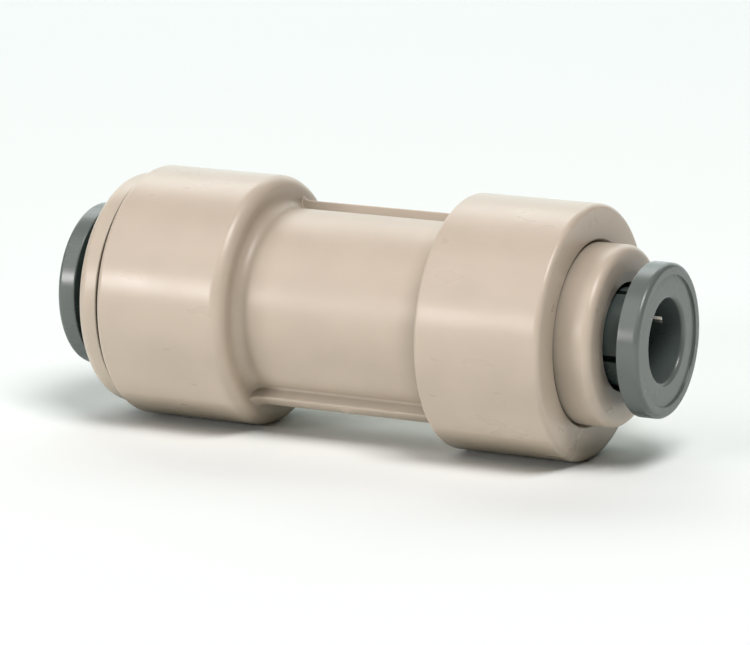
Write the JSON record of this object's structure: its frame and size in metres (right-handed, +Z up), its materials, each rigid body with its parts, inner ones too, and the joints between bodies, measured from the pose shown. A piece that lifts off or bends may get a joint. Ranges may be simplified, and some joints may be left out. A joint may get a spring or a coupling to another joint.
{
  "type": "push to connect fitting",
  "caption": "Straight reducing union that joins two plastic tubes: a ribbed body between two wide rings, with a cap and a sliding release collet at each end.",
  "frame": {"origin": "on the tube axis, at the middle of the union's length", "axes": "+X along the tube axis, out of the smaller socket (1/4 in tube); +Z up, with the ribs leaning 31 degrees from vertical"},
  "size_m": [0.0516, 0.0204, 0.0204],
  "materials": {
    "body": "satin",
    "cap": "satin",
    "collet": "satin",
    "seal": "matte",
    "teeth": "bright"
  },
  "bodies": {
    "housing": {"union_body": "body", "left_retaining_cap": "cap", "left_o_ring": "seal", "right_retaining_cap": "cap", "right_o_ring": "seal"},
    "left_release": {"left_collet": "collet", "left_grip_tooth_1": "teeth", "left_grip_tooth_2": "teeth", "left_grip_tooth_3": "teeth", "left_grip_tooth_4": "teeth", "left_grip_tooth_5": "teeth", "left_grip_tooth_6": "teeth"},
    "right_release": {"right_collet": "collet", "right_grip_tooth_1": "teeth", "right_grip_tooth_2": "teeth", "right_grip_tooth_3": "teeth", "right_grip_tooth_4": "teeth"}
  },
  "joints": [
    {"name": "left_collet_slide", "type": "slide", "parent": "housing", "child": "left_release", "axis": [1, 0, 0], "range_m": [-0.0005, 0.0012]},
    {"name": "right_collet_slide", "type": "slide", "parent": "housing", "child": "right_release", "axis": [-1, 0, 0], "range_m": [0, 0.0017]}
  ]
}
